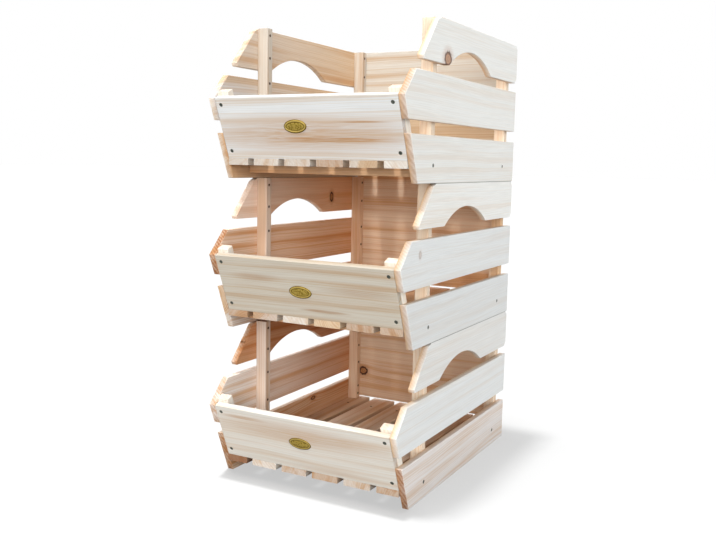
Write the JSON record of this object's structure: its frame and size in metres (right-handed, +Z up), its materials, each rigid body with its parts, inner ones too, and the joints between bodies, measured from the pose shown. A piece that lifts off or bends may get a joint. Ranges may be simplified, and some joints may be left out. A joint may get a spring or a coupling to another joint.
{
  "type": "stacking potato bin",
  "caption": "Stacking open-front crates of planed softwood for potatoes, with slatted floors, gapped side boards, arched hand holes and leaning front panels.",
  "frame": {"origin": "on the floor, in the middle of the stack's footprint", "axes": "+X to the right-hand side wall seen from the front, +Y to the back wall, +Z up"},
  "size_m": [0.38, 0.528, 0.825],
  "materials": {
    "pine_boards": "matte",
    "pine_battens": "matte",
    "screw_zinc": "satin",
    "badge_gilt": "satin"
  },
  "bodies": {
    "bottom_crate": {"bottom_floor_slats": "pine_boards", "bottom_front_bearer": "pine_battens", "bottom_front_panel": "pine_boards", "bottom_left_front_post": "pine_battens", "bottom_left_lower_board": "pine_boards", "bottom_left_middle_board": "pine_boards", "bottom_left_panel_batten": "pine_battens", "bottom_left_rear_post": "pine_battens", "bottom_left_upper_board": "pine_boards", "bottom_lower_back_board": "pine_boards", "bottom_rear_bearer": "pine_battens", "bottom_right_front_post": "pine_battens", "bottom_right_lower_board": "pine_boards", "bottom_right_middle_board": "pine_boards", "bottom_right_panel_batten": "pine_battens", "bottom_right_rear_post": "pine_battens", "bottom_right_upper_board": "pine_boards", "bottom_screws": "screw_zinc", "bottom_upper_back_board": "pine_boards"},
    "middle_crate": {"middle_back_top_strip": "pine_boards", "middle_floor_slats": "pine_boards", "middle_front_bearer": "pine_battens", "middle_front_panel": "pine_boards", "middle_left_front_post": "pine_battens", "middle_left_lower_board": "pine_boards", "middle_left_middle_board": "pine_boards", "middle_left_panel_batten": "pine_battens", "middle_left_rear_post": "pine_battens", "middle_left_upper_board": "pine_boards", "middle_lower_back_board": "pine_boards", "middle_rear_bearer": "pine_battens", "middle_right_front_post": "pine_battens", "middle_right_lower_board": "pine_boards", "middle_right_middle_board": "pine_boards", "middle_right_panel_batten": "pine_battens", "middle_right_rear_post": "pine_battens", "middle_right_upper_board": "pine_boards", "middle_screws": "screw_zinc", "middle_upper_back_board": "pine_boards"},
    "top_crate": {"top_floor_slats": "pine_boards", "top_front_bearer": "pine_battens", "top_front_panel": "pine_boards", "top_left_front_post": "pine_battens", "top_left_lower_board": "pine_boards", "top_left_middle_board": "pine_boards", "top_left_panel_batten": "pine_battens", "top_left_rear_post": "pine_battens", "top_left_upper_board": "pine_boards", "top_lower_back_board": "pine_boards", "top_rear_bearer": "pine_battens", "top_right_front_post": "pine_battens", "top_right_lower_board": "pine_boards", "top_right_middle_board": "pine_boards", "top_right_panel_batten": "pine_battens", "top_right_rear_post": "pine_battens", "top_right_upper_board": "pine_boards", "top_screws": "screw_zinc", "top_upper_back_board": "pine_boards"}
  },
  "joints": [
    {"name": "middle_crate_lift", "type": "slide", "parent": "bottom_crate", "child": "middle_crate", "axis": [0, 0, 1], "range_m": [0, 0.15]},
    {"name": "top_crate_lift", "type": "slide", "parent": "middle_crate", "child": "top_crate", "axis": [0, 0, 1], "range_m": [0, 0.15]}
  ]
}
